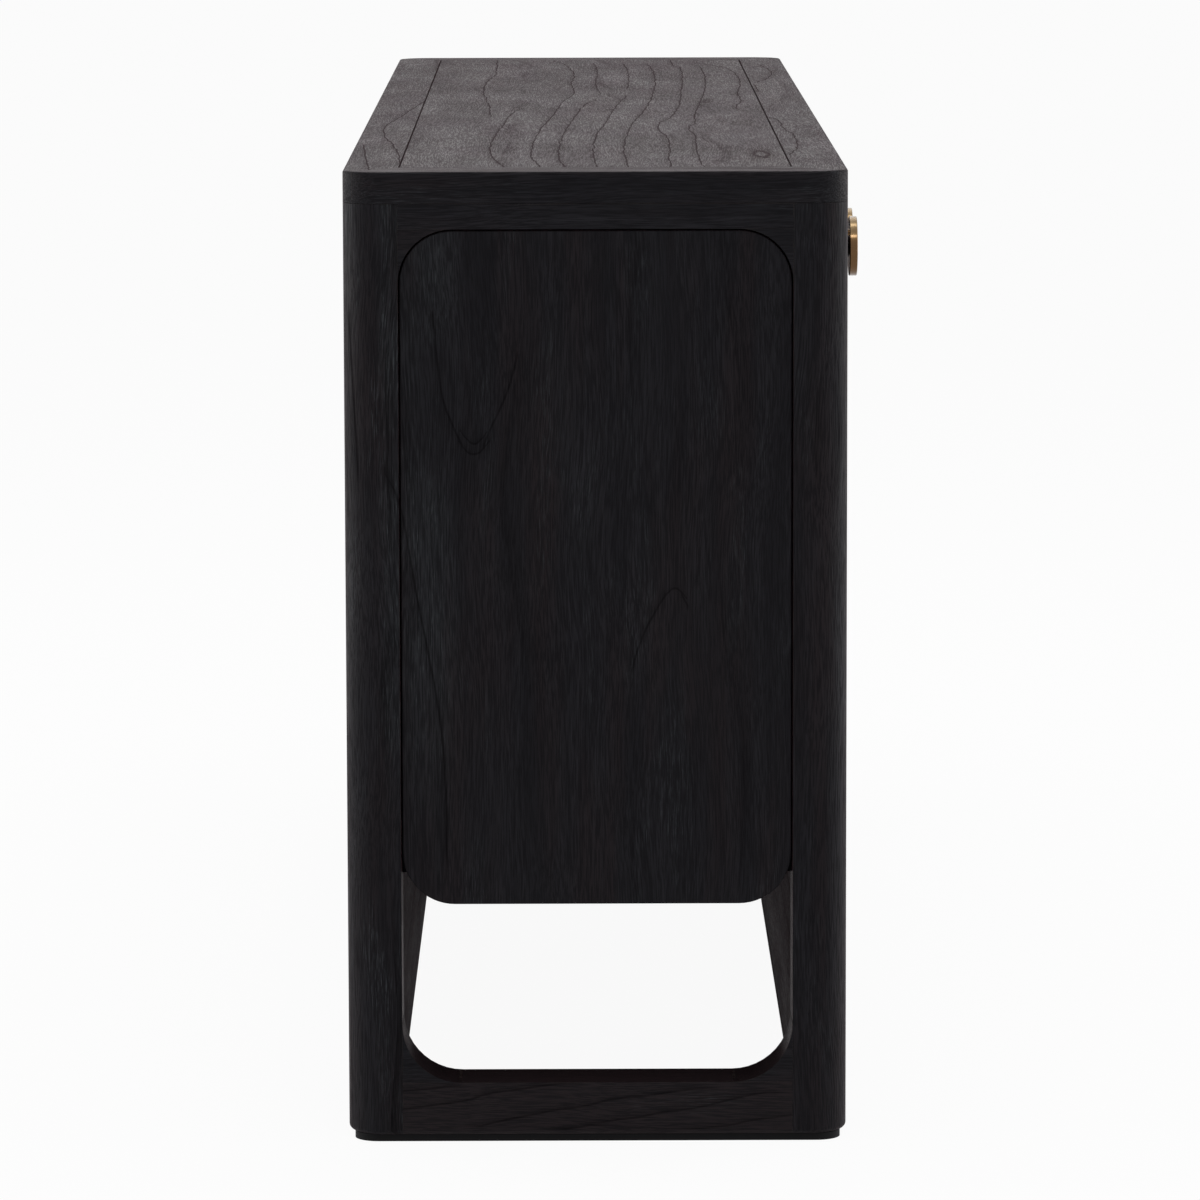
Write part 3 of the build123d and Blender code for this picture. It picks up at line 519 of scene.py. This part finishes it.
def cross_head_screws(node, body, metal):
    """Screws in place of the plain ones of a CAD node, each with a cross recess in its head."""
    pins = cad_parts[node].data
    reach = {vertex.index: {vertex.index} for vertex in pins.vertices}
    first_at = {}
    for vertex in pins.vertices:
        micrometres = tuple(round(value * 1e6) for value in vertex.co)
        first = first_at.setdefault(micrometres, vertex.index)
        if first != vertex.index:
            join(reach, first, vertex.index)
    for edge in pins.edges:
        join(reach, *edge.vertices)
    built = bmesh.new()
    for solid in {id(group): group for group in reach.values()}.values():
        add_screw(built, [pins.vertices[index].co.copy() for index in sorted(solid)])
    mesh = bpy.data.meshes.new(f"{node}_cross_head")
    built.to_mesh(mesh)
    built.free()
    mesh.materials.append(metal)
    screws = bpy.data.objects.new(f"{node}_cross_head", mesh)
    bpy.context.scene.collection.objects.link(screws)
    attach(screws, body)
    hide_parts(node)


def join(reach, one, other):
    """Merge the groups of two corner points that belong to the same solid."""
    if reach[one] is not reach[other]:
        small, large = sorted((reach[one], reach[other]), key=len)
        large |= small
        for index in small:
            reach[index] = large


SCREW_SIDES = 28
RECESS_ARM = 0.56                 # of the head's radius, out to the end of an arm
RECESS_HALF = 0.13                # half of an arm's width
RECESS_DEPTH = 0.42
RECESS_TAPER = 0.55               # the recess narrows to this share at its floor
SAME_LEVEL = 1e-5                 # corner points this close along the screw are one ring


def add_screw(built, corners):
    """Turn one screw from the corner points of its plain solid and press a cross into its head."""
    low = Vector(min(c[i] for c in corners) for i in range(3))
    high = Vector(max(c[i] for c in corners) for i in range(3))
    size = high - low
    along = max(range(3), key=lambda i: size[i])
    side, up = (i for i in range(3) if i != along)
    middle = (low + high) / 2

    def radius_at(level):
        ring = [c for c in corners if abs(c[along] - level) < SAME_LEVEL]
        return max(math.hypot(c[side] - middle[side], c[up] - middle[up]) for c in ring)

    levels = sorted({round(c[along], 6) for c in corners})
    profile = [(level, radius_at(level)) for level in levels]
    if profile[-1][1] < profile[0][1]:
        profile.reverse()
    inward = 1 if profile[0][0] > profile[-1][0] else -1
    head_level, head_radius = profile[-1]

    def point(level, across, upward):
        spot = Vector((0, 0, 0))
        spot[along] = level
        spot[side] = middle[side] + across
        spot[up] = middle[up] + upward
        return built.verts.new(spot)

    def circle(level, radius):
        turns = [2 * math.pi * k / SCREW_SIDES for k in range(SCREW_SIDES)]
        return [point(level, radius * math.cos(t), radius * math.sin(t)) for t in turns]

    rows = [circle(level, radius) for level, radius in profile]
    for row, following in zip(rows, rows[1:]):
        for k in range(SCREW_SIDES):
            after = (k + 1) % SCREW_SIDES
            built.faces.new((row[k], row[after], following[after], following[k]))
    built.faces.new(rows[0])
    arm, half = RECESS_ARM * head_radius, RECESS_HALF * head_radius
    cross = ((arm, -half), (arm, half), (half, half), (half, arm), (-half, arm), (-half, half),
             (-arm, half), (-arm, -half), (-half, -half), (-half, -arm), (half, -arm), (half, -half))
    floor_level = head_level + inward * RECESS_DEPTH * head_radius
    rim = [point(head_level, a, b) for a, b in cross]
    floor = [point(floor_level, a * RECESS_TAPER, b * RECESS_TAPER) for a, b in cross]
    edges = []
    for ring in (rows[-1], rim):
        for k, vertex in enumerate(ring):
            following = ring[(k + 1) % len(ring)]
            edges.append(built.edges.get((vertex, following)) or built.edges.new((vertex, following)))
    bmesh.ops.triangle_fill(built, use_beauty=True, edges=edges)
    for k in range(len(rim)):
        after = (k + 1) % len(rim)
        built.faces.new((rim[k], rim[after], floor[after], floor[k]))
    built.faces.new(floor)
    bmesh.ops.recalc_face_normals(built, faces=built.faces)


cross_head_screws("back_panel_screws", "case", screw_steel)

# ---------------------------------------------------------------- top
# Four mitred borders of solid ash carry a flat-sawn panel in their grooves. The panel is
# flush, with a hair-thin open joint all round, and its grain runs along the cabinet. The
# whole top is painted a little paler and warmer: painted light, for the light it catches from above.

# How strongly light from above is painted onto the top's upper faces.
TOP_PAINTED_LIGHT = 0.20
JOINT_FROM_MIDDLE = 160.2         # of the long joints, where stain has gathered in the eased arrises
JOINT_HALF_LENGTH = 868           # along the cabinet, from its middle
MIDDLE = 12.0                     # of the case, which the knobs push back from the origin
JOINT = {"axes": "XY", "width": 1.15, "strength": 1.0, "wander": 0.0, "shade": 0.0}
TOP_JOINTS = [{**JOINT, "points": ((-JOINT_HALF_LENGTH, MIDDLE + side), (JOINT_HALF_LENGTH, MIDDLE + side))}
              for side in (-JOINT_FROM_MIDDLE, JOINT_FROM_MIDDLE)]

# Growth lines of the top, as (place along, place across) in millimetres.
FRONT_BORDER_LINES = (
    ((769, -158), (734, -169), (610, -175), (476, -167), (431, -157)),
    ((363, -151), (254, -153)),
    ((-193, -151), (-233, -157), (-350, -158), (-450, -164), (-606, -162), (-652, -158), (-708, -152)),
)
BACK_BORDER_LINES = (
    ((-578, 210), (-694, 205), (-889, 196)),
    ((74, 174), (-69, 183), (-204, 192), (-334, 199), (-434, 196), (-556, 186), (-695, 177),
     (-846, 172)),
)
TOP_LINES = (
    ((-883, 83), (-819, 90), (-698, 99), (-605, 101), (-464, 99), (-287, 93), (-156, 89),
     (-84, 84)),
    ((-155, 106), (-16, 109), (159, 115), (281, 118), (426, 117), (573, 110), (730, 110), (865, 112)),
    ((-874, 56), (-810, 60), (-721, 65), (-607, 65), (-391, 60), (-128, 48), (96, 39), (246, 29),
     (388, 32), (536, 29), (675, 33), (780, 40), (835, 51)),
    ((-896, 32), (-832, 38), (-745, 42), (-608, 42), (-417, 38), (-185, 29), (38, 18), (95, 8)),
    ((-886, 6), (-812, 12), (-679, 13), (-468, 10), (-291, 2), (-21, -10), (167, -22)),
    ((229, 3), (402, 7), (603, 5), (778, 8)),
    ((309, -23), (419, -26), (566, -27), (760, -24)),
    ((-887, -15), (-792, -15), (-680, -13), (-541, -15), (-292, -23), (-79, -36), (213, -48),
     (450, -53), (634, -53), (758, -49)),
    ((-879, -50), (-749, -50), (-658, -52), (-470, -52), (-345, -46), (-189, -59), (91, -73),
     (241, -76), (463, -81), (703, -82), (739, -76), (847, -74)),
    ((-890, -81), (-772, -75), (-659, -75), (-446, -77), (-359, -73), (-269, -80), (-134, -83),
     (150, -95), (398, -103), (632, -105), (756, -96)),
    ((-89, -145), (-39, -124), (88, -131), (209, -131), (363, -137), (495, -139), (666, -133),
     (736, -120), (791, -102)),
)
HOOK = {"axes": "YX", "points": ((83, -84), (86, -62), (92, -50), (99, -50), (107, -66)), "fade": 2.0}
KNOT = {"centre": (-701, -128, 800), "size": (55, 8, 40)}


def top_lines(drawn):
    """The two long joints and growth lines through points along the top."""
    return TOP_JOINTS + [{"axes": "XY", "points": points} for points in drawn]


TOP = {"faded": TOP_PAINTED_LIGHT, "ring_strength": 0.25}
dress("top_border_front", ebonised_ash("ebonised_ash_top_border_front", "X", (29, 5, 0),
                                       lines=top_lines(FRONT_BORDER_LINES), **TOP))
dress("top_border_back", ebonised_ash("ebonised_ash_top_border_back", "X", (79, 5, 420),
                                      lines=top_lines(BACK_BORDER_LINES), **TOP))
dress_boards(("top_border_left", "top_border_right"), "Y", (50, 0, 120), start=(31, 15, 0),
             faded=TOP_PAINTED_LIGHT)
dress("top_panel", ebonised_ash("ebonised_ash_top_panel", "X", lines=top_lines(TOP_LINES) + [HOOK],
                                knots=(KNOT,), **TOP))

# ---------------------------------------------------------------- shelves
# A veneered shelf in each compartment, resting on turned brass pins in rows of holes. It is
# finished like the other boards inside the case.

dress_boards(("shelf_left", "shelf_right"), "X", (35, 0, 310), start=(15, 47, 0),
             wood="ebonised_veneer", **MATT)

# ---------------------------------------------------------------- doors
# Flush doors cut from flat-sawn boards. The two corners on the hinge side follow the
# rounded corners of the frame.

DOORS = ("left_outer", "left_inner", "right_inner", "right_outer")
HEART_ASIDE = 25                  # the tree's heart lies this far beside the door's middle
HEART_BEHIND = 55                 # and this far behind it, in millimetres
for number, door in enumerate(DOORS):
    low, high = (1000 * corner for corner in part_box(f"door_{door}"))
    heart = ((low.x + high.x) / 2 + HEART_ASIDE * (-1) ** number, high.y + HEART_BEHIND)
    dress(f"door_{door}", ebonised_ash(f"ebonised_ash_door_{door}", "Z",
                                       (53 * number + 6, 22 * number, 150 * number),
                                       heart=heart, ring_strength=0.65))

# ---------------------------------------------------------------- hinges, pins and screws
# Small drawn-brass butt hinges let into the doors and the frame, with brass screws. The
# metal has dulled a little and keeps fine lines from its drawing.

BRASS = "#8f7350"
BRASS_WORN = "#a98e68"
BRASS_TONED = "#5f4830"
DRAWN_LINES_PER_MM = 9.0
DRAWN_LINE_STRETCH = 100          # each line is this many times as long as it is wide
TONE_PATCH = 6.25                 # millimetres


def drawn_brass(name, line_axis):
    """Dulled brass with fine drawn lines along one axis and brown tone between them."""
    material, tree = new_material(name)
    place = add(tree, "TexCoord").outputs["Object"]
    squeeze = [1000 * DRAWN_LINES_PER_MM] * 3
    squeeze["XYZ".index(line_axis)] /= DRAWN_LINE_STRETCH
    lines = add(tree, "VectorMath", (place, squeeze), operation="MULTIPLY")
    lines = add(tree, "TexNoise", {"Vector": lines, "Scale": 1.0, "Detail": 2.0})
    tone = add(tree, "TexNoise", {"Vector": place, "Scale": 1000 / TONE_PATCH, "Detail": 4.0})
    tone = add(tree, "MapRange", (tone, 0.4, 0.75))
    colour = add(tree, "Mix", {0: lines, 6: hex_linear(BRASS), 7: hex_linear(BRASS_WORN)},
                 data_type="RGBA")
    colour = add(tree, "Mix", {0: tone, 6: colour, 7: hex_linear(BRASS_TONED)}, data_type="RGBA")
    rough = add(tree, "MapRange", {"Value": lines, "To Min": 0.26, "To Max": 0.42})
    relief = add(tree, "Bump", {"Height": lines, "Distance": 0.00003, "Strength": 0.5})
    metal = add(tree, "BsdfPrincipled", {"Base Color": colour, "Metallic": 1.0,
                                         "Roughness": rough, "Normal": relief})
    add(tree, "OutputMaterial", {"Surface": metal})
    return material


hinge_brass = drawn_brass("drawn_brass_hinges", "Z")
for node in ["hinge_frame_leaves", "hinge_pins"] + [f"hinge_leaves_{door}" for door in DOORS]:
    dress(node, hinge_brass)
screw_brass = drawn_brass("drawn_brass_screws", "X")
dress("shelf_pins", screw_brass)
cross_head_screws("hinge_frame_screws", "case", screw_brass)
for door in DOORS:
    cross_head_screws(f"door_screws_{door}", f"swing_{door}", screw_brass)

# ---------------------------------------------------------------- knobs
# Each knob is turned from brass bar: a flat disc on a stem with a small collar. It is toned
# brown and lacquered; the turning marks run round it. Its top is paler: finger wear, and
# painted light for the brighter reflections that the top catches.

KNOB_TONED = "#553c20"
KNOB_MID = "#6c4f2c"
KNOB_WORN_AND_PAINTED_LIGHT = "#998360"
TURNING_MARKS_PER_MM = 2.6
TARNISH_PER_MM = 0.09             # patches of darker tone about 11 mm across
WORN_AND_PAINTED_LIGHT_HEIGHTS = (0.004, 0.022)     # metres above the knob's middle where the paler top, wear and painted light, begins and is full


def turned_brass(name, centre):
    """Brown-toned brass with fine rings round the knob's own axis, which lies along Y."""
    material, tree = new_material(name)
    place = add(tree, "TexCoord").outputs["Object"]
    off_axis = add(tree, "VectorMath", (place, centre), operation="SUBTRACT")
    flat = add(tree, "VectorMath", (off_axis, (1, 0, 1)), operation="MULTIPLY")
    radius = add(tree, "VectorMath", (flat,), operation="LENGTH")
    height = add(tree, "SeparateXYZ", (off_axis,)).outputs["Z"]
    along = add(tree, "SeparateXYZ", (place,)).outputs["Y"]
    turns = add(tree, "CombineXYZ", (radius, along))
    marks = add(tree, "TexNoise", {"Vector": turns, "Scale": 1000 * TURNING_MARKS_PER_MM,
                                   "Detail": 2.0})
    tone = add(tree, "TexNoise", {"Vector": place, "Scale": 1000 * TARNISH_PER_MM, "Detail": 5.0})
    tone = add(tree, "MapRange", (tone, 0.4, 0.72))
    tone = add(tree, "Math", (tone, 0.45), operation="MULTIPLY")
    # Paler toward the top: finger wear, and painted light for the brighter reflections there.
    worn = add(tree, "MapRange", (height, *WORN_AND_PAINTED_LIGHT_HEIGHTS, 0.0, 0.75), **SMOOTH)
    colour = add(tree, "Mix", {0: marks, 6: hex_linear(KNOB_TONED), 7: hex_linear(KNOB_MID)},
                 data_type="RGBA")
    for share, layer in ((worn, KNOB_WORN_AND_PAINTED_LIGHT), (tone, KNOB_TONED)):
        colour = add(tree, "Mix", {0: share, 6: colour, 7: hex_linear(layer)}, data_type="RGBA")
    rough = add(tree, "MapRange", {"Value": marks, "To Min": 0.14, "To Max": 0.26})
    relief = add(tree, "Bump", {"Height": marks, "Distance": 0.00002, "Strength": 0.4})
    metal = add(tree, "BsdfPrincipled", {"Base Color": colour, "Metallic": 1.0,
                                         "Roughness": rough, "Normal": relief,
                                         "Coat Weight": 0.4, "Coat Roughness": 0.12})
    add(tree, "OutputMaterial", {"Surface": metal})
    return material


for door in DOORS:
    low, high = (Vector(corner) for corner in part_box(f"knob_{door}"))
    dress(f"knob_{door}", turned_brass(f"turned_brass_{door}", (low + high) / 2))

# ---------------------------------------------------------------- catches
# A moulded black housing with a magnet under the top rail for each door, and a plated steel
# plate on the back of the door. The mould's grit keeps the plastic from shining.

ABS_DARK = "#161617"
ABS_PALE = "#1d1d1e"
GRIT_PER_MM = 1.4

moulded, tree = new_material("moulded_abs_black")
grit = add(tree, "TexNoise", {"Vector": add(tree, "TexCoord").outputs["Object"],
                              "Scale": 1000 * GRIT_PER_MM, "Detail": 2.0})
grit_colour = add(tree, "Mix", {0: grit, 6: hex_linear(ABS_DARK), 7: hex_linear(ABS_PALE)},
                  data_type="RGBA")
grit_rough = add(tree, "MapRange", {"Value": grit, "To Min": 0.5, "To Max": 0.65})
grit_relief = add(tree, "Bump", {"Height": grit, "Distance": 0.00005, "Strength": 0.4})
plastic = add(tree, "BsdfPrincipled", {"Base Color": grit_colour, "Roughness": grit_rough,
                                       "Specular IOR Level": 0.2, "Normal": grit_relief})
add(tree, "OutputMaterial", {"Surface": plastic})
dress("magnet_catches", moulded)
for door in DOORS:
    dress(f"strike_plate_{door}", screw_steel)

# ---------------------------------------------------------------- studio
# A white floor that keeps a faint shadow, soft lamps from above and both sides, and a
# white surround.

FLOOR_HALF = 60.0
FLOOR_DROP = 0.0003               # so that the floor and the foot strips never share a plane
floor_mesh = bpy.data.meshes.new("studio_floor")
corners = [(x * FLOOR_HALF, y * FLOOR_HALF, -FLOOR_DROP) for x, y in ((-1, -1), (1, -1), (1, 1), (-1, 1))]
floor_mesh.from_pydata(corners, [], [(0, 1, 2, 3)])
floor = bpy.data.objects.new("studio_floor", floor_mesh)
bpy.context.scene.collection.objects.link(floor)

WHITE = "#ffffff"
PAPER = "#e6e6e6"
SHADOW_SHARE = 0.06               # how much of the floor's look is its real lit surface
AMBIENT = 0.5                     # light from all round on the cabinet


def seen_as_white(tree):
    """One where a ray comes from the camera, a reflection or a refraction, else zero."""
    path = add(tree, "LightPath")
    seen = add(tree, "Math", (path.outputs["Is Camera Ray"], path.outputs["Is Glossy Ray"]),
               operation="MAXIMUM")
    return add(tree, "Math", (seen, path.outputs["Is Transmission Ray"]), operation="MAXIMUM")


floor_paper, tree = new_material("matt_white_paper")
paper = add(tree, "BsdfDiffuse", {"Color": hex_linear(PAPER)})
glow = add(tree, "Emission", {"Color": hex_linear(WHITE), "Strength": 1.0})
share = add(tree, "Math", (seen_as_white(tree), 1 - SHADOW_SHARE), operation="MULTIPLY")
add(tree, "OutputMaterial", {"Surface": add(tree, "MixShader", (share, paper, glow))})
floor_mesh.materials.append(floor_paper)

world = bpy.data.worlds.new("white_studio")
world.use_nodes = True
tree = world.node_tree
tree.nodes.clear()
level = add(tree, "MapRange", {"Value": seen_as_white(tree), "To Min": AMBIENT, "To Max": 1.0})
surround = add(tree, "Background", {"Color": hex_linear(WHITE), "Strength": level})
add(tree, "OutputWorld", {"Surface": surround})
bpy.context.scene.world = world


def softbox(name, place, aim, width, depth, watts):
    """A rectangular soft lamp at place, turned to face aim."""
    lamp = bpy.data.lights.new(name, "AREA")
    lamp.shape = "RECTANGLE"
    lamp.size, lamp.size_y = width, depth
    lamp.energy = watts
    holder = bpy.data.objects.new(name, lamp)
    holder.location = place
    holder.rotation_euler = (Vector(aim) - Vector(place)).to_track_quat("-Z", "Y").to_euler()
    bpy.context.scene.collection.objects.link(holder)


softbox("lamp_above_near", (-0.33, 0.0, 3.4), (-0.33, 0.0, 0.0), 0.62, 2.6, 13)
softbox("lamp_above_far", (2.6, 0.0, 3.2), (0.9, 0.0, 0.0), 0.6, 2.6, 17)
softbox("lamp_end", (-3.15, -0.3, 3.15), (-0.5, -0.3, 0.7), 1.6, 0.42, 17)
softbox("lamp_front", (-0.05, -2.6, 0.95), (-0.05, 0.0, 0.6), 2.6, 1.7, 34)
softbox("lamp_back", (-0.05, 2.6, 0.95), (-0.05, 0.0, 0.6), 2.6, 1.7, 31)

# ---------------------------------------------------------------- camera
# A long lens looks along the cabinet from beyond its left end, a little above the top, so
# that the top and the leg space run away from the eye.

SENSOR = 36.0
LENS = 196.8
VIEW_DEPTH = 200.0                   # far enough to see the whole floor
CAMERA_AHEAD = 5.3014                # from the camera to the left end
CAMERA_HEIGHT = 1.1588
CAMERA_ASIDE = 0.0165                # toward the back, from the middle of the case
PAN = math.radians(0.21)             # toward the front
TILT = math.radians(7.608)           # down
ROLL = math.radians(-0.139)

case_low = Vector(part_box("post_front_left")[0])
case_back_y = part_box("post_back_left")[1][1]
lens = bpy.data.cameras.new("camera")
lens.sensor_width = SENSOR
lens.lens = LENS
lens.clip_end = VIEW_DEPTH
camera = bpy.data.objects.new("camera", lens)
camera.location = (case_low.x - CAMERA_AHEAD, (case_low.y + case_back_y) / 2 + CAMERA_ASIDE, CAMERA_HEIGHT)
ahead = Vector((math.cos(TILT) * math.cos(PAN), -math.cos(TILT) * math.sin(PAN), -math.sin(TILT)))
aimed = ahead.to_track_quat("-Z", "Y") @ Quaternion((0, 0, 1), ROLL)
camera.rotation_euler = aimed.to_euler()
bpy.context.scene.collection.objects.link(camera)
bpy.context.scene.camera = camera
bpy.context.scene.view_settings.view_transform = "Standard"
